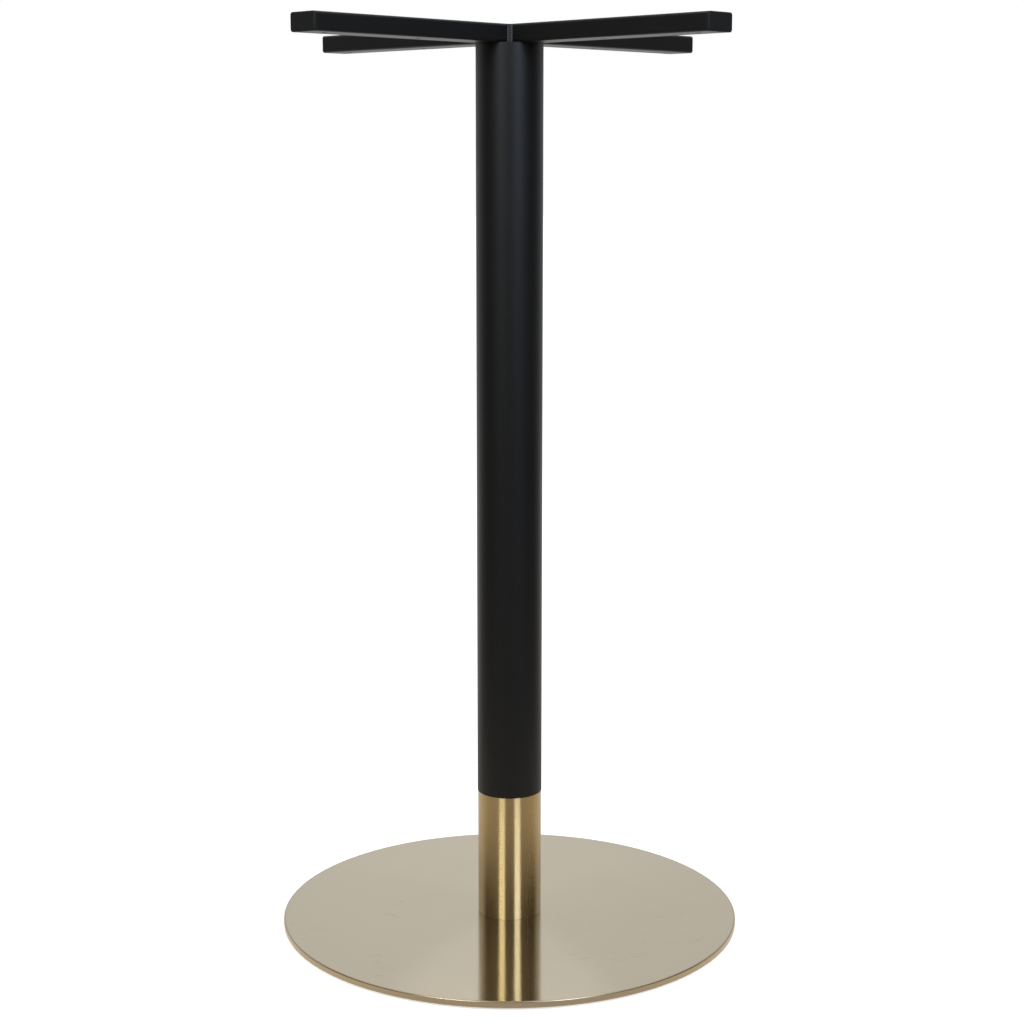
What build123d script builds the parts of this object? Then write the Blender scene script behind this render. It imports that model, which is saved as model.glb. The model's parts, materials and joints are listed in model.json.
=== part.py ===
from build123d import *
from math import cos, radians, sin, sqrt
import os

# Bar-height table base: a round brass-finish disc, a two-colour column and a cross of four arms.
# The origin is on the floor under the middle of the disc. +Z points up along the column, and
# the arms point along the diagonals between X and Y. All sizes are in millimetres.

# Disc: a thin spun cover, turned under a steel ballast plate
disc_diameter = 540
cover_sheet = 1
cover_bend_radius = 0.5
cover_lip_width = 8
ballast_thickness = 6
ballast_clearance = 0.1

# Nylon glides under the ballast plate, set in from the rim, and their screws
glide_count = 6
glide_inset = 45
glide_diameter = 30
glide_thickness = 4
glide_edge_chamfer = 1
glide_hole_clearance = 0.2
glide_screw_diameter = 4
glide_screw_head_diameter = 7.5
glide_screw_length = 8
glide_screw_sink = 0.8
glide_socket_flats = 2.5
glide_socket_depth = 1.2

# Two-colour column
column_diameter = 76
column_wall = 2
column_length = 865
sleeve_diameter = 75
sleeve_length = 150
tube_end_chamfer = 0.3

# Inner tube and plugs that line up the column
spigot_length = 250
spigot_wall = 3
spigot_clearance = 0.05
foot_plug_height = 20
top_plug_height = 8
plug_chamfer = 1

# Screws between the ballast plate and the foot plug
column_screw_count = 4
column_screw_reach = 21
column_screw_diameter = 8
column_screw_head_diameter = 16
column_screw_length = 20
column_screw_clearance = 0.5
column_socket_flats = 5
column_socket_depth = 2.6

# Tie rod, its washer and its nut
rod_diameter = 12
rod_end_gap = 2
rod_end_chamfer = 1
rod_stick_out = 1.5
rod_hole_clearance = 0.5
washer_diameter = 24
washer_thickness = 2.5
washer_chamfer = 0.3
nut_across_flats = 19
nut_height = 10
nut_corner_drop = 0.85

# Cross of rectangular tube
bar_length = 590
bar_width = 38
bar_height = 20
bar_wall = 2
bar_corner_radius = 3
cross_turn = 45
nut_access_diameter = 30
weld_leg = 4.5
weld_crown = 0.6
weld_end_gap = 0.5

# Screw holes for the table top: the inner ones from the axis, the outer ones from the tube's end
inner_hole_reach = 140
outer_hole_inset = 25
table_hole_diameter = 6.5

# End caps of the cross
cap_flange = 4
cap_edge_radius = 1.2
cap_insert_length = 14
cap_insert_gap = 1
cap_insert_wall = 1.6
cap_rib_count = 3
cap_rib_thickness = 1.2
cap_rib_clearance = 0.05

# Clearances shared by every thread and every countersunk head
thread_clearance = 0.05
head_clearance = 0.05
screw_tip_clearance = 0.3
screw_tip_chamfer = 0.5

# Heights above the floor that follow from the sizes above
ballast_bottom = glide_thickness
ballast_top = ballast_bottom + ballast_thickness
cover_bottom = ballast_bottom - cover_sheet
cover_top = ballast_top + cover_sheet
sleeve_top = cover_top + sleeve_length
column_top = sleeve_top + column_length
cross_middle = column_top + bar_height / 2
cross_top = column_top + bar_height
washer_seat = column_top + bar_wall
nut_seat = washer_seat + washer_thickness
rod_bottom = ballast_top + rod_end_gap
rod_top = nut_seat + nut_height + rod_stick_out

# Radii and inside sizes that follow from the sizes above
disc_radius = disc_diameter / 2
glide_reach = disc_radius - glide_inset
column_bore_radius = column_diameter / 2 - column_wall
spigot_radius = column_bore_radius - spigot_clearance
spigot_bore_radius = spigot_radius - spigot_wall
rod_hole_radius = rod_diameter / 2 + rod_hole_clearance
bar_inside_width = bar_width - 2 * bar_wall
bar_inside_height = bar_height - 2 * bar_wall
bar_inside_radius = bar_corner_radius - bar_wall
outer_hole_reach = bar_length / 2 - outer_hole_inset


def underside(height):
    """A level plane at this height that looks down, for holes bored from below."""
    return Plane(origin=(0, 0, height), z_dir=(0, 0, -1))


def arm_plane(angle, reach):
    """An upright plane across an arm, at this distance from the axis, that looks outward."""
    outward = Vector(cos(radians(angle)), sin(radians(angle)), 0)
    across = Vector(-outward.Y, outward.X, 0)
    return Plane(origin=outward * reach + Vector(0, 0, cross_middle), x_dir=across, z_dir=outward)


def table_hole_points(angle):
    """The two places on an arm where a screw passes up into the table top."""
    spots = [arm_plane(angle, reach).origin for reach in (inner_hole_reach, outer_hole_reach)]
    return [(spot.X, spot.Y, cross_top) for spot in spots]


def countersunk_screws(count, reach, head_face, diameter, head_diameter, length, flats, socket):
    """A ring of socket screws with right-angled heads that face down at this height."""
    head_height = (head_diameter - diameter) / 2
    with BuildPart() as screws:
        with Locations((0, 0, head_face)):
            with PolarLocations(reach, count):
                Cone(
                    head_diameter / 2,
                    diameter / 2,
                    head_height,
                    align=(Align.CENTER, Align.CENTER, Align.MIN),
                )
        with BuildSketch(Plane.XY.offset(head_face + head_height)):
            with PolarLocations(reach, count):
                Circle(diameter / 2)
        extrude(amount=length - head_height)
        chamfer(screws.edges().group_by(Axis.Z)[-1], screw_tip_chamfer)
        with BuildSketch(Plane.XY.offset(head_face)):
            with PolarLocations(reach, count):
                RegularPolygon(flats / 2, 6, major_radius=False)
        extrude(amount=socket, mode=Mode.SUBTRACT)
    return screws.part


def ring_tube(bottom, length, outer_radius, inner_radius):
    """A round tube on the axis with broken edges."""
    with BuildPart() as tube:
        with BuildSketch(Plane.XY.offset(bottom)):
            Circle(outer_radius)
            Circle(inner_radius, mode=Mode.SUBTRACT)
        extrude(amount=length)
        chamfer(tube.edges().filter_by(GeomType.CIRCLE), tube_end_chamfer)
    return tube.part


def bar_tube(angle, start, end):
    """A length of rectangular tube along an arm's line, with its corners rounded."""
    with BuildPart() as bar:
        with BuildSketch(arm_plane(angle, start)):
            RectangleRounded(bar_width, bar_height, bar_corner_radius)
            RectangleRounded(
                bar_inside_width, bar_inside_height, bar_inside_radius, mode=Mode.SUBTRACT
            )
        extrude(amount=end - start)
    return bar.part


def half_bar(angle):
    """One short arm, cut square against the through bar, with its table screw holes."""
    with BuildPart() as bar:
        add(bar_tube(angle, bar_width / 2, bar_length / 2))
        with Locations(*table_hole_points(angle)):
            Hole(table_hole_diameter / 2)
    return bar.part


def end_cap(angle):
    """The cap of one arm: a flange as wide as the tube and a hollow insert with thin ribs."""
    tube_end = arm_plane(angle, bar_length / 2)
    insert_width = bar_inside_width - 2 * cap_insert_gap
    insert_height = bar_inside_height - 2 * cap_insert_gap
    with BuildPart() as cap:
        with BuildSketch(tube_end):
            RectangleRounded(bar_width, bar_height, bar_corner_radius)
        extrude(amount=cap_flange)
        outer_face = cap.faces().sort_by(Axis(tube_end.origin, tube_end.z_dir))[-1]
        fillet(outer_face.edges(), cap_edge_radius)
        with BuildSketch(tube_end):
            Rectangle(insert_width, insert_height)
        extrude(amount=-cap_insert_length)
        rib_pitch = cap_insert_length / cap_rib_count
        for rib in range(cap_rib_count):
            with BuildSketch(tube_end.offset(-rib_pitch * (rib + 0.5))):
                RectangleRounded(
                    bar_inside_width - 2 * cap_rib_clearance,
                    bar_inside_height - 2 * cap_rib_clearance,
                    bar_inside_radius,
                )
            extrude(amount=cap_rib_thickness / 2, both=True)
        with BuildSketch(tube_end.offset(-cap_insert_length)):
            Rectangle(insert_width - 2 * cap_insert_wall, insert_height - 2 * cap_insert_wall)
        extrude(amount=cap_insert_length, mode=Mode.SUBTRACT)
    return cap.part


def glide(angle):
    """One nylon glide under the ballast plate, with a sunk screw hole."""
    centre = Vector(glide_reach, 0, 0).rotate(Axis.Z, angle)
    with BuildPart() as pad:
        with BuildSketch(Plane(centre)):
            Circle(glide_diameter / 2)
        extrude(amount=glide_thickness)
        chamfer(pad.edges().group_by(Axis.Z)[0], glide_edge_chamfer)
        with Locations(Plane(origin=centre, z_dir=(0, 0, -1))):
            CounterSinkHole(
                glide_screw_diameter / 2 + glide_hole_clearance,
                glide_screw_head_diameter / 2 + glide_screw_sink + head_clearance,
                counter_sink_angle=90,
            )
    return pad.part


# Spun cover of the disc, open under the ballast plate
with BuildPart() as base_cover:
    with BuildSketch(Plane.XZ):
        with BuildLine():
            Polyline(
                (column_bore_radius, cover_top),
                (disc_radius, cover_top),
                (disc_radius, cover_bottom),
                (disc_radius - cover_lip_width, cover_bottom),
                (disc_radius - cover_lip_width, ballast_bottom),
                (disc_radius - cover_sheet, ballast_bottom),
                (disc_radius - cover_sheet, ballast_top),
                (column_bore_radius, ballast_top),
                close=True,
            )
        make_face()
        for height in (cover_bottom, cover_top):
            outer_corner = vertices().sort_by_distance((disc_radius, height))[0]
            fillet(outer_corner, cover_bend_radius + cover_sheet)
        for height in (ballast_bottom, ballast_top):
            inner_corner = vertices().sort_by_distance((disc_radius - cover_sheet, height))[0]
            chamfer(inner_corner, cover_bend_radius)
    revolve(axis=Axis.Z)

# Steel plate inside the cover, with its screw holes bored from below
with BuildPart() as ballast_plate:
    with BuildSketch(Plane.XY.offset(ballast_bottom)):
        Circle(disc_radius - cover_sheet - ballast_clearance)
    extrude(amount=ballast_thickness)
    chamfer(
        ballast_plate.edges().filter_by(GeomType.CIRCLE), cover_bend_radius + ballast_clearance
    )
    with Locations(underside(ballast_bottom)):
        with PolarLocations(column_screw_reach, column_screw_count):
            CounterSinkHole(
                column_screw_diameter / 2 + column_screw_clearance,
                column_screw_head_diameter / 2 + head_clearance,
                counter_sink_angle=90,
            )
        with PolarLocations(glide_reach, glide_count):
            Hole(
                glide_screw_diameter / 2 + thread_clearance,
                depth=glide_screw_sink + glide_screw_length - glide_thickness
                + screw_tip_clearance,
            )

# Turned plug that takes the column screws from below and the tie rod in its middle
with BuildPart() as foot_plug:
    with BuildSketch(Plane.XY.offset(ballast_top)):
        Circle(spigot_bore_radius - spigot_clearance)
    extrude(amount=foot_plug_height)
    chamfer(foot_plug.edges().group_by(Axis.Z)[-1], plug_chamfer)
    with Locations(underside(ballast_top)):
        Hole(rod_diameter / 2 + thread_clearance)
        with PolarLocations(column_screw_reach, column_screw_count):
            Hole(
                column_screw_diameter / 2 + thread_clearance,
                depth=column_screw_length - ballast_thickness + screw_tip_clearance,
            )

# Inner tube that stands on the ballast plate and joins the two outer tubes
with BuildPart() as spigot_tube:
    with BuildSketch(Plane.XY.offset(ballast_top)):
        Circle(spigot_radius)
        Circle(spigot_bore_radius, mode=Mode.SUBTRACT)
    extrude(amount=spigot_length)
    outer_rim = spigot_tube.edges().group_by(Axis.Z)[-1].sort_by(SortBy.LENGTH)[-1]
    chamfer(outer_rim, plug_chamfer)

# Disc in the mouth of the column, on which the cross stands
with BuildPart() as top_plug:
    with BuildSketch(Plane.XY.offset(column_top - top_plug_height)):
        Circle(column_bore_radius - spigot_clearance)
    extrude(amount=top_plug_height)
    chamfer(top_plug.edges().group_by(Axis.Z)[0], plug_chamfer)
    with Locations((0, 0, column_top)):
        Hole(rod_hole_radius)

# Tie rod from the foot plug to the cross
with BuildPart() as tie_rod:
    with BuildSketch(Plane.XY.offset(rod_bottom)):
        Circle(rod_diameter / 2)
    extrude(amount=rod_top - rod_bottom)
    chamfer(tie_rod.edges().filter_by(GeomType.CIRCLE), rod_end_chamfer)

# Washer on the floor of the through bar
with BuildPart() as rod_washer:
    with BuildSketch(Plane.XY.offset(washer_seat)):
        Circle(washer_diameter / 2)
        Circle(rod_hole_radius, mode=Mode.SUBTRACT)
    extrude(amount=washer_thickness)
    outer_rim = rod_washer.edges().group_by(Axis.Z)[-1].sort_by(SortBy.LENGTH)[-1]
    chamfer(outer_rim, washer_chamfer)

# Hexagon nut on the tie rod, with its corners turned down at both faces
with BuildPart() as rod_nut:
    with BuildSketch(Plane.XY.offset(nut_seat)):
        RegularPolygon(nut_across_flats / 2, 6, major_radius=False)
    extrude(amount=nut_height)
    nut_corner_radius = nut_across_flats / sqrt(3)
    with BuildSketch(Plane.XZ):
        with BuildLine():
            Polyline(
                (rod_diameter / 2 + thread_clearance, nut_seat),
                (nut_across_flats / 2, nut_seat),
                (nut_corner_radius, nut_seat + nut_corner_drop),
                (nut_corner_radius, nut_seat + nut_height - nut_corner_drop),
                (nut_across_flats / 2, nut_seat + nut_height),
                (rod_diameter / 2 + thread_clearance, nut_seat + nut_height),
                close=True,
            )
        make_face()
    revolve(axis=Axis.Z, mode=Mode.INTERSECT)

# Long bar of the cross, with its table screw holes and a way in to the nut
with BuildPart() as through_bar:
    add(bar_tube(cross_turn, -bar_length / 2, bar_length / 2))
    with Locations(*table_hole_points(cross_turn), *table_hole_points(cross_turn + 180)):
        Hole(table_hole_diameter / 2)
    with Locations((0, 0, cross_top)):
        CounterBoreHole(rod_hole_radius, nut_access_diameter / 2, bar_height / 2)

# Weld beads that fill the four upright inner corners of the cross
with BuildSketch() as bead_section:
    corner = bar_width / 2
    crown = corner + weld_leg / 2 + weld_crown / sqrt(2)
    with BuildLine():
        Line((corner, corner), (corner + weld_leg, corner))
        ThreePointArc((corner + weld_leg, corner), (crown, crown), (corner, corner + weld_leg))
        Line((corner, corner + weld_leg), (corner, corner))
    make_face()
with BuildPart() as hub_welds:
    with BuildSketch(Plane.XY.offset(column_top + weld_end_gap).rotated((0, 0, cross_turn))):
        with PolarLocations(0, 4):
            add(bead_section.sketch)
    extrude(amount=bar_height - 2 * weld_end_gap)

pieces = {
    "base_cover": base_cover.part,
    "ballast_plate": ballast_plate.part,
    "foot_plug": foot_plug.part,
    "spigot_tube": spigot_tube.part,
    "brass_sleeve": ring_tube(cover_top, sleeve_length, sleeve_diameter / 2, column_bore_radius),
    "column_tube": ring_tube(sleeve_top, column_length, column_diameter / 2, column_bore_radius),
    "top_plug": top_plug.part,
    "tie_rod": tie_rod.part,
    "rod_washer": rod_washer.part,
    "rod_nut": rod_nut.part,
    "through_bar": through_bar.part,
    "half_bar_back_left": half_bar(cross_turn + 90),
    "half_bar_front_right": half_bar(cross_turn + 270),
    "hub_welds": hub_welds.part,
    "end_cap_back_right": end_cap(cross_turn),
    "end_cap_back_left": end_cap(cross_turn + 90),
    "end_cap_front_left": end_cap(cross_turn + 180),
    "end_cap_front_right": end_cap(cross_turn + 270),
    "column_screws": countersunk_screws(
        column_screw_count,
        column_screw_reach,
        ballast_bottom,
        column_screw_diameter,
        column_screw_head_diameter,
        column_screw_length,
        column_socket_flats,
        column_socket_depth,
    ),
    "glide_screws": countersunk_screws(
        glide_count,
        glide_reach,
        glide_screw_sink,
        glide_screw_diameter,
        glide_screw_head_diameter,
        glide_screw_length,
        glide_socket_flats,
        glide_socket_depth,
    ),
}
for number in range(glide_count):
    pieces[f"glide_{number + 1}"] = glide(number * 360 / glide_count)

os.makedirs("parts", exist_ok=True)
for name, piece in pieces.items():
    piece.label = name
    export_step(piece, f"parts/{name}.step")
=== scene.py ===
import json
from collections import namedtuple
from math import cos, pi, radians, sin, sqrt

import bmesh
import bpy
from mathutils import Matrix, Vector


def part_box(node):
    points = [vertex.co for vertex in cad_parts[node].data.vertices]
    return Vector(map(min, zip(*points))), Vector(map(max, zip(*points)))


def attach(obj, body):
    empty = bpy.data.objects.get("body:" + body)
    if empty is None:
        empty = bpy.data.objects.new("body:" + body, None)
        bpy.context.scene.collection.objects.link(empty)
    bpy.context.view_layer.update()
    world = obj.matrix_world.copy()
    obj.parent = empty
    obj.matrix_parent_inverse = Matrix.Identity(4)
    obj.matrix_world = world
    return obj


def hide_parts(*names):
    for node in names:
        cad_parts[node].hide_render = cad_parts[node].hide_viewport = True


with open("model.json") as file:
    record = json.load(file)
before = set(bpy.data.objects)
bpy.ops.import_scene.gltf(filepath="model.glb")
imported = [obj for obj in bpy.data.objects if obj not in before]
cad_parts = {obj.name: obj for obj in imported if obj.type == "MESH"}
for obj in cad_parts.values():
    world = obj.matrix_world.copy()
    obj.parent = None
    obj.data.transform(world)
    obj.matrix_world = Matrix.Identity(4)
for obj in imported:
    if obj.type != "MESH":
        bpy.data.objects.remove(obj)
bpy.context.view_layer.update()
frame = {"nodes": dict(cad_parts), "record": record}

# Sizes of the dressed pieces, in metres, for what the frame's boxes don't give
MM = 0.001

# Cover of the disc, and the two outer tubes of the column
SHEET = 1.0 * MM
LIP_WIDTH = 8.0 * MM
RIM_BAND = 2.0 * MM
OUTER_BEND = 1.5 * MM
INNER_BEND = 0.5 * MM
TUBE_WALL = 2.0 * MM
TUBE_EDGE = 0.3 * MM
SHARP = 0.0
# A profile has a point this far to each side of a corner, so that its flats are shaded flat
EDGE_GAP = 0.05 * MM
ARC_STEPS = 6
LATHE_STEPS = 360

# Weld beads: two legs lie on the tubes, and the face between them is crowned and rippled.
# The ripples' depth is a share of the crown.
WELD_LEG = 4.5 * MM
WELD_HALF_FACE = WELD_LEG / sqrt(2)
WELD_CROWN = 0.6 * MM
WELD_RIPPLE_PITCH = 1.7 * MM
WELD_RIPPLE_DEPTH = 0.55
WELD_RIPPLE_SAG = 0.9 * MM
WELD_ROWS = 90
WELD_COLUMNS = 16
INNER_CORNERS = 4

# Threads of the tie rod, with this many rows in a pitch and steps in a turn
THREAD_PITCH = 1.75 * MM
THREAD_DEPTH = 0.9 * MM
THREAD_LENGTH = 34 * MM
THREAD_RUNOUT = 2 * THREAD_PITCH
THREAD_ROWS = 10
THREAD_STEPS = 48
ROD_CHAMFER = 1.0 * MM

# The photograph's camera, found from the edges of the disc, the column and the cross.
# Azimuths here and below are degrees round the column from its front, and grow to the right.
PHOTO_WIDTH = 1024
FOCAL_PIXELS = 1983.75
AXIS_PIXEL = 509.55
SENSOR_MM = 36.0
CAMERA_DISTANCE = 2.269
CAMERA_HEIGHT = 0.8986
CAMERA_PITCH = 10.07
CAMERA_AZIMUTH = -0.6

# Colours
DISC_BRASS = (0.50, 0.455, 0.365)
# The cover's folded rim is the disc's brass painted darker: painted shade, which also dims the
# lamps' highlight on its bend
SHADED_RIM_BRASS = (0.435, 0.365, 0.26)
SLEEVE_BRASS = (0.61, 0.465, 0.245)
BLACK_COAT = (0.0025, 0.0026, 0.0027)
BLACK_NYLON = (0.0055, 0.0055, 0.0055)
ROLLED_STEEL = (0.30, 0.30, 0.31)
ZINC = (0.60, 0.62, 0.66)

# Noise cells a metre in what is drawn out one way: the rings and scratches of the brass, and the
# tool marks of the steel. A waver is the radius, in noise cells, of the circle that the noise
# follows in one turn round the axis, so that a larger one varies more.
FINE_RINGS = 2600
FINE_WAVER = 5
COARSE_RINGS = 420
COARSE_WAVER = 3
FAN_WAVER = 6
SCRATCH_ALONG = 28
MARKS_ALONG = 26
MARKS_ACROSS = 900
# How softly the patches that hold scratches end
SCRATCH_PATCH_EDGE = 0.05
# How much higher the powder coat's flow stands than its fine peel
FLOW_TO_PEEL = 1.5

# Studio floor and surround. The floor's glow is only for the camera and mirrors, and the surround
# lights the object a little less than it looks.
FLOOR_REACH = 30.0
FLOOR_WHITE = 0.9
FLOOR_GLOW = 0.52
SURROUND_LIGHT = 0.7
SURROUND_LOOK = 1.0

# Lamps, in metres and watts. middle is the height of a lamp's centre.
Lamp = namedtuple("Lamp", "azimuth distance middle width height power colour")
FRONT_LAMPS = {
    "lamp_left": Lamp(
        azimuth=-30.5, distance=2.9, middle=2.35, width=1.15, height=1.8, power=51,
        colour=(0.92, 0.99, 1.0),
    ),
    "lamp_right": Lamp(
        azimuth=30.5, distance=2.9, middle=2.35, width=1.15, height=1.8, power=73,
        colour=(0.68, 0.78, 1.0),
    ),
}
BACK_LAMP = Lamp(
    azimuth=180, distance=3.2, middle=2.45, width=1.0, height=0.6, power=4.5,
    colour=(1.0, 0.97, 0.9),
)
# The share of the front lamps that the disc's top shows, so that it doesn't flare from behind
DISC_SHEEN = 0.085
# How far behind a front lamp the card stands that the disc's top mirrors in its place
LAMP_CARD_GAP = 0.02

# The room that the metal mirrors: dim in front, and a white sweep of floor and wall behind.
# It is turned a little round the column, by ROOM_TURN degrees.
ROOM_INNER = 0.2712
ROOM_FLOOR_HEIGHT = 0.2 * MM
ROOM_RADIUS = 4.5
ROOM_HEIGHT = 4.5
ROOM_STEPS = 72
ROOM_TURN = 2.5
# Floor in front: (metres from the column's axis, colour)
FRONT_FLOOR = (
    (0.27, (0.78, 0.71, 0.60)),
    (0.30, (0.84, 0.76, 0.65)),
    (0.38, (0.85, 0.75, 0.61)),
    (0.46, (0.76, 0.67, 0.54)),
    (0.58, (0.42, 0.36, 0.28)),
    (0.80, (0.24, 0.21, 0.17)),
    (1.40, (0.12, 0.11, 0.09)),
    (4.50, (0.08, 0.07, 0.06)),
)
# The same floor to the sides: (degrees from the front, times the light in front)
FLOOR_SIDES = ((0, 0.85), (24, 0.90), (50, 1.20), (100, 1.30))
# Floor behind: (metres from the column's axis, colour)
BACK_FLOOR = (
    (0.27, (0.52, 0.52, 0.52)),
    (0.55, (0.68, 0.69, 0.70)),
    (1.20, (1.00, 1.00, 0.98)),
    (2.50, (1.20, 1.20, 1.18)),
    (4.50, (1.10, 1.10, 1.10)),
)
BACK_FLOOR_STARTS = 105
BACK_FLOOR_WHOLE = 140
# Wall: (degrees from the front, colour)
WALL = (
    (0, (0.072, 0.053, 0.031)),
    (98, (0.075, 0.060, 0.040)),
    (120, (0.56, 0.58, 0.62)),
    (150, (0.60, 0.63, 0.68)),
    (164, (0.83, 0.82, 0.78)),
    (180, (0.90, 0.88, 0.84)),
)
# A pale wall in front that only the top of the disc mirrors, so that it keeps its colour when it
# is seen from the sides and the back. It fades out between two angles from the front.
PALE_RADIUS = 4.4
PALE_WALL = (0.82, 0.80, 0.76)
PALE_WALL_WHOLE = 110
PALE_WALL_ENDS = 150


# Helpers

def add_object(name, mesh):
    """Turns a bmesh into an object in the scene."""
    data = bpy.data.meshes.new(name)
    mesh.to_mesh(data)
    mesh.free()
    thing = bpy.data.objects.new(name, data)
    bpy.context.scene.collection.objects.link(thing)
    return thing


def dress(name, mesh, node, material):
    """Makes a piece that stands for a CAD node, with its finish."""
    bmesh.ops.recalc_face_normals(mesh, faces=mesh.faces)
    piece = add_object(name, mesh)
    piece.data.materials.append(material)
    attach(piece, "root")
    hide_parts(node)
    return piece


def bridge_loops(mesh, first, second):
    """Joins two closed loops of vertices with smooth quads."""
    count = len(first)
    for index in range(count):
        after = (index + 1) % count
        face = mesh.faces.new((first[index], first[after], second[after], second[index]))
        face.smooth = True


def close_ends(mesh, loops):
    """Closes the first and the last of a row of loops."""
    mesh.faces.new(loops[0])
    mesh.faces.new(list(reversed(loops[-1])))


def rounded_profile(corners):
    """Turns a closed list of (radius, height, rounding) corners into profile points."""
    points = []
    count = len(corners)
    for index, (radius, height, rounding) in enumerate(corners):
        here = Vector((radius, height))
        before = Vector(corners[index - 1][:2])
        after = Vector(corners[(index + 1) % count][:2])
        to_before = (before - here).normalized()
        to_after = (after - here).normalized()
        start = here + to_before * rounding
        end = here + to_after * rounding
        centre = start + to_after * rounding
        points.append(start + to_before * EDGE_GAP)
        for step in range(ARC_STEPS + 1):
            turn = pi / 2 * step / ARC_STEPS
            points.append(centre + (start - centre) * cos(turn) + (end - centre) * sin(turn))
            if rounding == SHARP:
                break
        points.append(end + to_after * EDGE_GAP)
    return points


def at_turn(turn, radius, height):
    """A point at a turn in radians and a radius from the column's axis."""
    return radius * cos(turn), radius * sin(turn), height


def lathe(corners):
    """Revolves a closed profile about the column's axis."""
    profile = rounded_profile(corners)
    mesh = bmesh.new()
    rings = []
    for step in range(LATHE_STEPS):
        turn = 2 * pi * step / LATHE_STEPS
        rings.append([mesh.verts.new(at_turn(turn, point.x, point.y)) for point in profile])
    for step in range(LATHE_STEPS):
        bridge_loops(mesh, rings[step], rings[(step + 1) % LATHE_STEPS])
    return mesh


def at_azimuth(azimuth, distance, height):
    """A place at an azimuth in degrees and a distance from the column's axis."""
    turn = radians(azimuth)
    return Vector((sin(turn) * distance, -cos(turn) * distance, height))


# Materials, with noise scales in cells a metre

class Shader:
    """A material's node tree, with short ways to add and join nodes."""

    # Sockets of the Mix node that take and give colours
    MIX_COLOURS = (6, 7)
    MIX_RESULT = 2

    def __init__(self, name):
        self.material = bpy.data.materials.new(name)
        self.material.use_nodes = True
        self.tree = self.material.node_tree
        self.surface = self.tree.nodes["Principled BSDF"]
        self.place = self.add("ShaderNodeTexCoord").outputs["Object"]
        apart = self.add("ShaderNodeSeparateXYZ")
        self.feed(apart.inputs[0], self.place)
        self.x, self.y, self.z = apart.outputs

    def add(self, kind, **settings):
        """Adds a node with these settings."""
        node = self.tree.nodes.new(kind)
        for key, value in settings.items():
            setattr(node, key, value)
        return node

    def feed(self, socket, value):
        """Puts a number or a colour into a socket, or joins another socket to it."""
        if isinstance(value, tuple):
            socket.default_value = (*value, 1)
        elif isinstance(value, (int, float)):
            socket.default_value = value
        else:
            self.tree.links.new(value, socket)

    def set(self, **values):
        """Sets the surface's own sockets, with _ for a space in their names."""
        for key, value in values.items():
            self.feed(self.surface.inputs[key.replace("_", " ")], value)

    def drive(self, name, value):
        """Joins a socket to one of the surface's sockets."""
        self.feed(self.surface.inputs[name], value)

    def maths(self, operation, *values):
        """A Math node fed by sockets or numbers."""
        node = self.add("ShaderNodeMath", operation=operation)
        for socket, value in zip(node.inputs, values):
            self.feed(socket, value)
        return node.outputs[0]

    def plus(self, first, second):
        """The sum of two sockets or numbers."""
        return self.maths("ADD", first, second)

    def times(self, first, second):
        """The product of two sockets or numbers."""
        return self.maths("MULTIPLY", first, second)

    def vector(self, *values):
        """A vector from three sockets or numbers."""
        node = self.add("ShaderNodeCombineXYZ")
        for socket, value in zip(node.inputs, values):
            self.feed(socket, value)
        return node.outputs[0]

    def noise(self, vector, scale=1.0, detail=3.0, roughness=0.5):
        """Plain noise from 0 to 1."""
        node = self.add("ShaderNodeTexNoise")
        node.inputs["Scale"].default_value = scale
        node.inputs["Detail"].default_value = detail
        node.inputs["Roughness"].default_value = roughness
        self.feed(node.inputs["Vector"], vector)
        return node.outputs["Fac"]

    def spread(self, value, low, high, from_low=0.0, from_high=1.0):
        """Maps a range of values onto another, and holds its ends."""
        node = self.add("ShaderNodeMapRange")
        for socket, number in zip(node.inputs, (value, from_low, from_high, low, high)):
            self.feed(socket, number)
        return node.outputs["Result"]

    def vary(self, value, middle, reach):
        """Turns a value from 0 to 1 into a number that strays from its middle."""
        return self.spread(value, middle - reach, middle + reach)

    def blend(self, factor, first, second):
        """Mixes two colours."""
        node = self.add("ShaderNodeMix", data_type="RGBA")
        self.feed(node.inputs["Factor"], factor)
        for number, colour in zip(self.MIX_COLOURS, (first, second)):
            self.feed(node.inputs[number], colour)
        return node.outputs[self.MIX_RESULT]

    def shades(self, factor, colour, dark, light):
        """Mixes a darker and a lighter shade of a colour."""
        return self.blend(factor, shade(colour, dark), shade(colour, light))

    def grade(self, measure, tones):
        """A colour that follows a measure through (value, colour) stops."""
        ramp = self.add("ShaderNodeValToRGB")
        most = tones[-1][0]
        self.feed(ramp.inputs["Fac"], self.maths("DIVIDE", measure, most))
        marks = ramp.color_ramp.elements
        for index, (value, colour) in enumerate(tones):
            mark = marks[index] if index < len(marks) else marks.new(1.0)
            mark.position = value / most
            mark.color = (*colour, 1)
        return ramp.outputs["Color"]

    def scaled(self, colour, factor):
        """A colour times a number."""
        node = self.add("ShaderNodeVectorMath", operation="SCALE")
        self.feed(node.inputs[0], colour)
        self.feed(node.inputs["Scale"], factor)
        return node.outputs[0]

    def mirrored(self, once, more):
        """One number where the camera sees the mirroring piece itself, and another deeper in."""
        depth = self.add("ShaderNodeLightPath").outputs["Ray Depth"]
        return self.spread(depth, once, more, from_low=1.0, from_high=2.0)

    def bump(self, height, strength, distance):
        """Raises the surface by a height socket."""
        node = self.add("ShaderNodeBump")
        node.inputs["Strength"].default_value = strength
        node.inputs["Distance"].default_value = distance
        self.feed(node.inputs["Height"], height)
        self.drive("Normal", node.outputs["Normal"])

    def radius(self):
        """Distance from the column's axis."""
        squares = self.plus(self.times(self.x, self.x), self.times(self.y, self.y))
        return self.maths("SQRT", squares)


def shade(colour, factor):
    """A colour made lighter or darker."""
    return tuple(channel * factor for channel in colour)


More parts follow.
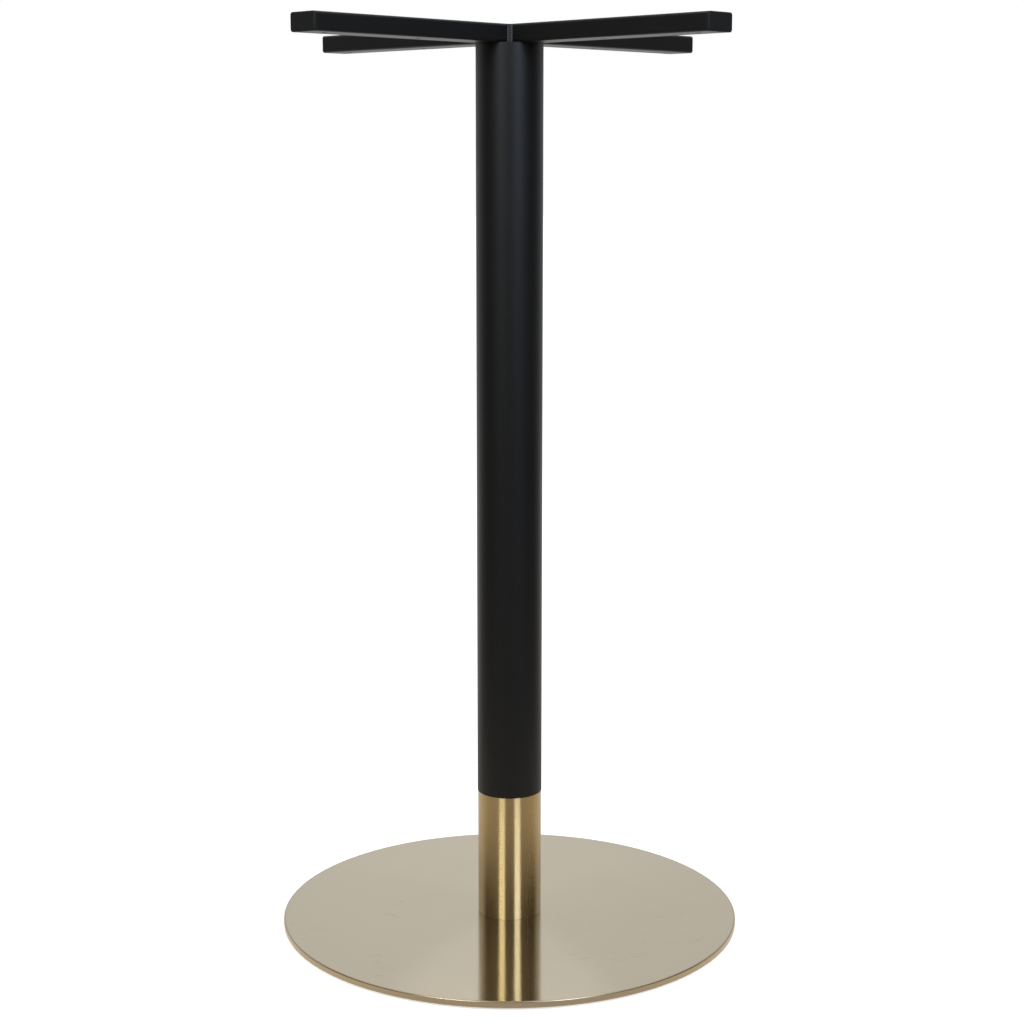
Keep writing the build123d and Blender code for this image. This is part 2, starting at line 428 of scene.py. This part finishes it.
def hairlines(look, angle, spacing, cover):
    """Sparse short scratches at an angle to X.

    spacing is in noise cells a metre across them, and cover is the share that they fill.
    """
    along = look.plus(look.times(look.x, cos(angle)), look.times(look.y, sin(angle)))
    across = look.maths("SUBTRACT", look.times(look.y, cos(angle)), look.times(look.x, sin(angle)))
    drawn_out = look.vector(look.times(along, SCRATCH_ALONG), look.times(across, spacing), look.z)
    line = look.noise(drawn_out, detail=1.0, roughness=0.4)
    patch = look.noise(look.place, scale=17, detail=1.0, roughness=0.4)
    thin = look.spread(line, low=0.0, high=1.0, from_low=0.70, from_high=0.76)
    edge = 1.0 - cover
    held = look.spread(patch, low=0.0, high=1.0, from_low=edge, from_high=edge + SCRATCH_PATCH_EDGE)
    return look.times(thin, held)


def brushed_brass(name, colour, roughness, anisotropy, wear):
    """Metal brushed round the axis: fine rings, with highlights drawn out across them."""
    look = Shader(name)
    radius = look.radius()
    out_and_up = look.plus(radius, look.z)
    cosine = look.maths("DIVIDE", look.x, radius)
    sine = look.maths("DIVIDE", look.y, radius)

    def rings(pitch, waver):
        """Noise drawn out round the axis."""
        place = look.vector(
            look.times(out_and_up, pitch),
            look.times(cosine, waver),
            look.times(sine, waver),
        )
        return look.noise(place, roughness=0.6)

    fine = rings(FINE_RINGS, FINE_WAVER)
    coarse = rings(COARSE_RINGS, COARSE_WAVER)
    grain = look.times(look.plus(fine, coarse), 0.5)
    fan = look.noise(look.vector(look.times(cosine, FAN_WAVER), look.times(sine, FAN_WAVER), 0.0))
    cloud = look.noise(look.place, scale=9)
    haze = look.spread(cloud, low=0.0, high=0.35, from_low=0.35, from_high=0.75)
    scratches = look.maths(
        "MAXIMUM",
        hairlines(look, angle=0.35, spacing=900, cover=0.42),
        hairlines(look, angle=2.1, spacing=700, cover=0.4),
    )
    scratches = look.times(scratches, wear)

    clean = look.shades(grain, colour, dark=0.95, light=1.05)
    clouded = look.blend(haze, clean, shade(colour, factor=0.94))
    look.drive("Base Color", look.blend(scratches, clouded, shade(colour, factor=0.62)))
    ring_rough = look.vary(grain, middle=0.0, reach=0.005)
    fan_rough = look.vary(fan, middle=roughness, reach=0.02)
    scratch_rough = look.spread(scratches, low=0.0, high=0.12)
    look.drive("Roughness", look.plus(look.plus(ring_rough, fan_rough), scratch_rough))
    look.set(Metallic=1.0, Anisotropic=anisotropy, Anisotropic_Rotation=0.25)
    tangent = look.add("ShaderNodeTangent", direction_type="RADIAL", axis="Z")
    look.drive("Tangent", tangent.outputs[0])
    return look.material


def powder_coat(name, colour, roughness, gloss):
    """Satin powder coat: very fine orange peel and a slight change of gloss."""
    look = Shader(name)
    peel = look.noise(look.place, scale=1400, detail=2.0)
    flow = look.noise(look.place, scale=320, detail=2.0)
    cloud = look.noise(look.place, scale=14)
    look.drive("Base Color", look.shades(cloud, colour, dark=0.85, light=1.15))
    look.drive("Roughness", look.vary(cloud, middle=roughness, reach=0.03))
    look.set(Specular_IOR_Level=gloss)
    height = look.plus(peel, look.times(flow, FLOW_TO_PEEL))
    look.bump(height, strength=0.22, distance=0.06 * MM)
    return look.material


def moulded_nylon(name, colour):
    """Black moulded plastic with a fine spark-eroded grain."""
    look = Shader(name)
    grain = look.noise(look.place, scale=2400, roughness=0.6)
    look.drive("Base Color", look.shades(grain, colour, dark=0.7, light=1.3))
    look.drive("Roughness", look.spread(grain, low=0.46, high=0.6))
    look.set(Specular_IOR_Level=0.27)
    look.bump(grain, strength=0.3, distance=0.05 * MM)
    return look.material


def rolled_steel(name, colour):
    """Bare rolled plate and turned plugs: mottled mill scale with fine tool marks."""
    look = Shader(name)
    mottle = look.noise(look.place, scale=42, detail=6.0, roughness=0.62)
    speck = look.noise(look.place, scale=600)
    drawn_out = look.vector(
        look.times(look.x, MARKS_ACROSS),
        look.times(look.y, MARKS_ALONG),
        look.times(look.z, MARKS_ACROSS),
    )
    marks = look.noise(drawn_out, detail=2.0)
    scale_tone = look.spread(mottle, low=0.0, high=1.0, from_low=0.3, from_high=0.7)
    scale_colour = look.shades(scale_tone, colour, dark=0.55, light=1.15)
    specks = look.spread(speck, low=0.0, high=0.5, from_low=0.62, from_high=0.7)
    look.drive("Base Color", look.blend(specks, scale_colour, shade(colour, factor=0.4)))
    look.drive("Roughness", look.spread(mottle, low=0.52, high=0.34))
    look.set(Metallic=1.0)
    look.bump(look.plus(marks, mottle), strength=0.2, distance=0.04 * MM)
    return look.material


def zinc_plate(name, colour):
    """Bright zinc plating with a faint bluish cloud."""
    look = Shader(name)
    cloud = look.noise(look.place, scale=300)
    look.drive("Base Color", look.shades(cloud, colour, dark=0.82, light=1.1))
    look.drive("Roughness", look.spread(cloud, low=0.22, high=0.38))
    look.set(Metallic=1.0)
    look.bump(cloud, strength=0.12, distance=0.03 * MM)
    return look.material


disc_brass = brushed_brass("disc_brass", DISC_BRASS, roughness=0.13, anisotropy=0.93, wear=0.8)
# The rim's brass is the cover's own brass painted darker, a painted shade
shaded_rim_brass = brushed_brass("shaded_rim_brass", SHADED_RIM_BRASS, roughness=0.28, anisotropy=0.5, wear=0.3)
sleeve_brass = brushed_brass("sleeve_brass", SLEEVE_BRASS, roughness=0.28, anisotropy=1.0, wear=0.0)
black_coat = powder_coat("black_coat", BLACK_COAT, roughness=0.46, gloss=0.35)
# The welds take the black coat painted half again lighter: a painted highlight on the beads
weld_coat_painted_lighter = powder_coat("weld_coat_painted_lighter", shade(BLACK_COAT, factor=1.5), roughness=0.42, gloss=0.5)
FINISHES = {
    "brushed_brass": sleeve_brass,
    "black_powder_coat": black_coat,
    "plain_steel": rolled_steel("rolled_steel", ROLLED_STEEL),
    "zinc_plated_steel": zinc_plate("zinc_plate", ZINC),
    "black_nylon": moulded_nylon("black_nylon", BLACK_NYLON),
}
for part in frame["record"]["subparts"]:
    node = frame["nodes"][part["node"]]
    node.data.materials.clear()
    node.data.materials.append(FINISHES[part["material_slot"]])


# Turned pieces, with more facets than the CAD mesh so that their highlights stay smooth

def dress_cover(bore):
    """The spun cover of the disc: its rim folded under, and its flat top, which it returns."""
    low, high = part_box("base_cover")
    rim = high.x
    under = high.z - SHEET
    band = rim - RIM_BAND
    flat = [
        (bore, high.z, SHARP),
        (band, high.z, SHARP),
        (band, under, SHARP),
        (bore, under, SHARP),
    ]
    folded = [
        (band, high.z, SHARP),
        (rim, high.z, OUTER_BEND),
        (rim, low.z, OUTER_BEND),
        (rim - LIP_WIDTH, low.z, SHARP),
        (rim - LIP_WIDTH, low.z + SHEET, SHARP),
        (rim - SHEET, low.z + SHEET, INNER_BEND),
        (rim - SHEET, under, INNER_BEND),
        (band, under, SHARP),
    ]
    # The folded rim takes the darker brass, which is painted shade
    dress("cover_rim", lathe(folded), "base_cover", shaded_rim_brass)
    return dress("cover_top", lathe(flat), "base_cover", disc_brass)


def dress_tube(name, node, bore, material):
    """One of the column's two outer tubes."""
    low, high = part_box(node)
    corners = [
        (high.x, low.z, TUBE_EDGE),
        (high.x, high.z, TUBE_EDGE),
        (bore, high.z, TUBE_EDGE),
        (bore, low.z, TUBE_EDGE),
    ]
    dress(name, lathe(corners), node, material)


column_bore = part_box("column_tube")[1].x - TUBE_WALL
disc_top = dress_cover(column_bore)
dress_tube("lower_tube", "brass_sleeve", column_bore, sleeve_brass)
dress_tube("upper_tube", "column_tube", column_bore, black_coat)


# Weld beads in the four inner corners of the cross

def weld_height(across, up):
    """How far a bead stands above its chord: a crown with ripples that sag in the middle."""
    side = across / WELD_HALF_FACE
    bulge = 1 - side * side
    phase = (up + WELD_RIPPLE_SAG * bulge) / WELD_RIPPLE_PITCH
    scallop = abs(sin(pi * phase))
    return WELD_CROWN * bulge * (1 - WELD_RIPPLE_DEPTH + WELD_RIPPLE_DEPTH * sqrt(scallop))


def add_bead(mesh, angle, corner_reach, bottom, top):
    """One upright bead: its rippled face, its two hidden legs and its ends."""
    outward = Vector((cos(angle), sin(angle), 0))
    sideways = Vector((-sin(angle), cos(angle), 0))
    rows = []
    for row in range(WELD_ROWS + 1):
        up = (top - bottom) * row / WELD_ROWS
        level = Vector((0, 0, bottom + up))
        verts = []
        for column in range(WELD_COLUMNS + 1):
            across = WELD_HALF_FACE * (2 * column / WELD_COLUMNS - 1)
            reach = corner_reach + WELD_HALF_FACE + weld_height(across, up)
            verts.append(mesh.verts.new(outward * reach + sideways * across + level))
        verts.append(mesh.verts.new(outward * corner_reach + level))
        rows.append(verts)
    for below, above in zip(rows, rows[1:]):
        bridge_loops(mesh, below, above)
    close_ends(mesh, rows)


def dress_welds():
    """All four beads, one in each inner corner."""
    low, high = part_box("hub_welds")
    corner_reach = high.x - WELD_CROWN - WELD_HALF_FACE
    mesh = bmesh.new()
    for corner in range(INNER_CORNERS):
        add_bead(mesh, 2 * pi * corner / INNER_CORNERS, corner_reach, low.z, high.z)
    # The beads' coat is the black coat painted lighter, a painted highlight
    dress("weld_beads", mesh, "hub_welds", weld_coat_painted_lighter)


dress_welds()


# Tie rod with a rolled thread at both ends

def thread_ring(mesh, height, outside, from_end):
    """The rod's outline at one height, grooved where the thread passes."""
    plain = max(0.0, (from_end - THREAD_LENGTH + THREAD_RUNOUT) / THREAD_RUNOUT)
    ring = []
    for step in range(THREAD_STEPS):
        share = step / THREAD_STEPS
        phase = (height / THREAD_PITCH - share) % 1.0
        groove = 1 - abs(2 * phase - 1)
        reach = outside - THREAD_DEPTH * groove * (1 - min(1.0, plain))
        reach = min(reach, outside - ROD_CHAMFER + from_end)
        ring.append(mesh.verts.new(at_turn(2 * pi * share, reach, height)))
    return ring


def dress_rod():
    """The rod, whose top end shows in the nut."""
    low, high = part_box("tie_rod")
    mesh = bmesh.new()
    rows = int(THREAD_LENGTH / (THREAD_PITCH / THREAD_ROWS))
    rings = []
    for start in (low.z, high.z - THREAD_LENGTH):
        for row in range(rows + 1):
            height = start + THREAD_LENGTH * row / rows
            from_end = min(height - low.z, high.z - height)
            rings.append(thread_ring(mesh, height, high.x, from_end))
    for below, above in zip(rings, rings[1:]):
        bridge_loops(mesh, below, above)
    close_ends(mesh, rings)
    dress("threaded_rod", mesh, "tie_rod", FINISHES["zinc_plated_steel"])


dress_rod()


# Camera

camera_data = bpy.data.cameras.new("camera")
camera_data.sensor_width = SENSOR_MM
camera_data.lens = FOCAL_PIXELS / PHOTO_WIDTH * SENSOR_MM
camera_data.shift_x = (PHOTO_WIDTH / 2 - AXIS_PIXEL) / PHOTO_WIDTH
camera = bpy.data.objects.new("camera", camera_data)
camera.location = at_azimuth(CAMERA_AZIMUTH, CAMERA_DISTANCE, CAMERA_HEIGHT)
camera.rotation_euler = (radians(90 - CAMERA_PITCH), 0, radians(CAMERA_AZIMUTH))
bpy.context.scene.collection.objects.link(camera)
bpy.context.scene.camera = camera


# Studio: a white floor and surround, soft lamps, and the dimmer room that the metal mirrors

def studio_ray(tree):
    """A socket that is 1 for camera, mirror and glass rays, so that they see the background."""
    path = tree.nodes.new("ShaderNodeLightPath")
    seen = path.outputs["Is Camera Ray"]
    for other in ("Is Glossy Ray", "Is Transmission Ray"):
        both = tree.nodes.new("ShaderNodeMath")
        both.operation = "MAXIMUM"
        tree.links.new(seen, both.inputs[0])
        tree.links.new(path.outputs[other], both.inputs[1])
        seen = both.outputs[0]
    return seen


def matt(name, grey):
    """A matt stage colour."""
    look = Shader(name)
    look.set(Base_Color=(grey, grey, grey), Roughness=1.0, Specular_IOR_Level=0.0)
    return look


def lay_floor():
    """The white floor, which keeps the object's shadow."""
    mesh = bmesh.new()
    corners = ((-1, -1), (1, -1), (1, 1), (-1, 1))
    mesh.faces.new([mesh.verts.new((x * FLOOR_REACH, y * FLOOR_REACH, 0)) for x, y in corners])
    ground = add_object("floor", mesh)
    look = matt("floor_white", FLOOR_WHITE)
    look.set(Emission_Color=(1, 1, 1))
    look.drive("Emission Strength", look.times(studio_ray(look.tree), FLOOR_GLOW))
    ground.data.materials.append(look.material)


def glowing(look, colour):
    """Gives the surface a glow of this colour."""
    look.drive("Emission Color", colour)
    look.set(Emission_Strength=1.0)
    return look.material


def degrees_from_front(look):
    """Angle round the column from the front of the room, the same to left and right of there."""
    turn = look.maths("ARCTAN2", look.x, look.times(look.y, -1.0))
    degrees = look.times(turn, 180 / pi)
    return look.maths("ABSOLUTE", look.maths("SUBTRACT", degrees, ROOM_TURN))


def room_floor_glow():
    """The floor's tones: dim in front, lighter at the sides, white behind."""
    look = matt("room_floor_glow", 0.0)
    angle = degrees_from_front(look)
    sides = look.grade(angle, [(value, (times, times, times)) for value, times in FLOOR_SIDES])
    front = look.scaled(look.grade(look.radius(), FRONT_FLOOR), sides)
    behind = look.spread(angle, 0.0, 1.0, BACK_FLOOR_STARTS, BACK_FLOOR_WHOLE)
    return glowing(look, look.blend(behind, front, look.grade(look.radius(), BACK_FLOOR)))


def room_wall_glow():
    """The wall's tones."""
    look = matt("room_wall_glow", 0.0)
    return glowing(look, look.grade(degrees_from_front(look), WALL))


def clear_glow(look, colour, strength):
    """Makes the surface clear, with a glow of this colour added to what is behind it."""
    glow = look.add("ShaderNodeEmission")
    look.feed(glow.inputs["Color"], colour)
    look.feed(glow.inputs["Strength"], strength)
    both = look.add("ShaderNodeAddShader")
    look.feed(both.inputs[0], glow.outputs[0])
    look.feed(both.inputs[1], look.add("ShaderNodeBsdfTransparent").outputs[0])
    look.feed(look.tree.nodes["Material Output"].inputs["Surface"], both.outputs[0])
    return look.material


def pale_wall_glow():
    """The pale wall's glow, in what is mirrored only once."""
    look = Shader("pale_wall_glow")
    front = look.spread(degrees_from_front(look), 1.0, 0.0, PALE_WALL_WHOLE, PALE_WALL_ENDS)
    return clear_glow(look, PALE_WALL, look.times(front, look.mirrored(once=1.0, more=0.0)))


def seen_in_mirrors(name, mesh, material):
    """A stage piece that only mirror reflections see."""
    piece = add_object(name, mesh)
    piece.data.materials.append(material)
    piece.visible_camera = False
    piece.visible_diffuse = False
    piece.visible_shadow = False
    return piece


def reflected_ring(name, inner, outer, material):
    """A ring between two (radius, height) edges that only mirror reflections see."""
    mesh = bmesh.new()
    turns = [2 * pi * step / ROOM_STEPS for step in range(ROOM_STEPS)]
    edges = []
    for radius, height in (inner, outer):
        edges.append([mesh.verts.new(at_turn(turn, radius, height)) for turn in turns])
    bridge_loops(mesh, *edges)
    return seen_in_mirrors(name, mesh, material)


def lamp_card(name, lamp):
    """A clear card just behind a lamp that stands for it in what the disc's top mirrors."""
    turn = radians(lamp.azimuth)
    place = at_azimuth(lamp.azimuth, lamp.distance + LAMP_CARD_GAP, lamp.middle)
    across = Vector((cos(turn), sin(turn), 0)) * lamp.width / 2
    up = Vector((0, 0, lamp.height / 2))
    mesh = bmesh.new()
    corners = (-across - up, across - up, across + up, up - across)
    mesh.faces.new([mesh.verts.new(place + corner) for corner in corners])
    look = Shader(name)
    lamp_glow = lamp.power / (pi * lamp.width * lamp.height)
    strength = look.mirrored(once=lamp_glow * DISC_SHEEN, more=lamp_glow)
    return seen_in_mirrors(name, mesh, clear_glow(look, lamp.colour, strength))


def soft_lamp(name, lamp):
    """An upright rectangular lamp that faces the column."""
    data = bpy.data.lights.new(name, "AREA")
    data.shape = "RECTANGLE"
    data.size = lamp.width
    data.size_y = lamp.height
    data.energy = lamp.power
    data.color = lamp.colour
    light = bpy.data.objects.new(name, data)
    light.location = at_azimuth(lamp.azimuth, lamp.distance, lamp.middle)
    light.rotation_euler = (pi / 2, 0, radians(lamp.azimuth))
    bpy.context.scene.collection.objects.link(light)
    return light


def link_light(light, thing, state):
    """Makes a lamp or a glowing piece light this thing alone, with INCLUDE, or all but it."""
    linked = bpy.data.collections.new(f"{light.name}_receivers")
    linked.objects.link(thing)
    linked.collection_objects[0].light_linking.link_state = state
    light.light_linking.receiver_collection = linked


def white_surround():
    """A plain white world that lights the shadows a little less than it looks."""
    world = bpy.data.worlds.new("surround")
    bpy.context.scene.world = world
    world.use_nodes = True
    tree = world.node_tree
    background = tree.nodes["Background"]
    background.inputs["Color"].default_value = (1, 1, 1, 1)
    strength = tree.nodes.new("ShaderNodeMapRange")
    strength.inputs["To Min"].default_value = SURROUND_LIGHT
    strength.inputs["To Max"].default_value = SURROUND_LOOK
    tree.links.new(studio_ray(tree), strength.inputs["Value"])
    tree.links.new(strength.outputs["Result"], background.inputs["Strength"])


lay_floor()
reflected_ring(
    "room_floor",
    (ROOM_INNER, ROOM_FLOOR_HEIGHT),
    (ROOM_RADIUS, ROOM_FLOOR_HEIGHT),
    room_floor_glow(),
)
reflected_ring(
    "room_wall",
    (ROOM_RADIUS, 0),
    (ROOM_RADIUS, ROOM_HEIGHT),
    room_wall_glow(),
)
pale_wall = reflected_ring(
    "pale_wall",
    (PALE_RADIUS, 0),
    (PALE_RADIUS, ROOM_HEIGHT),
    pale_wall_glow(),
)
link_light(pale_wall, disc_top, "INCLUDE")
soft_lamp("lamp_back", BACK_LAMP)
for lamp_name, front_lamp in FRONT_LAMPS.items():
    link_light(soft_lamp(lamp_name, front_lamp), disc_top, "EXCLUDE")
    link_light(lamp_card(f"{lamp_name}_card", front_lamp), disc_top, "INCLUDE")
white_surround()
bpy.context.scene.view_settings.view_transform = "Standard"
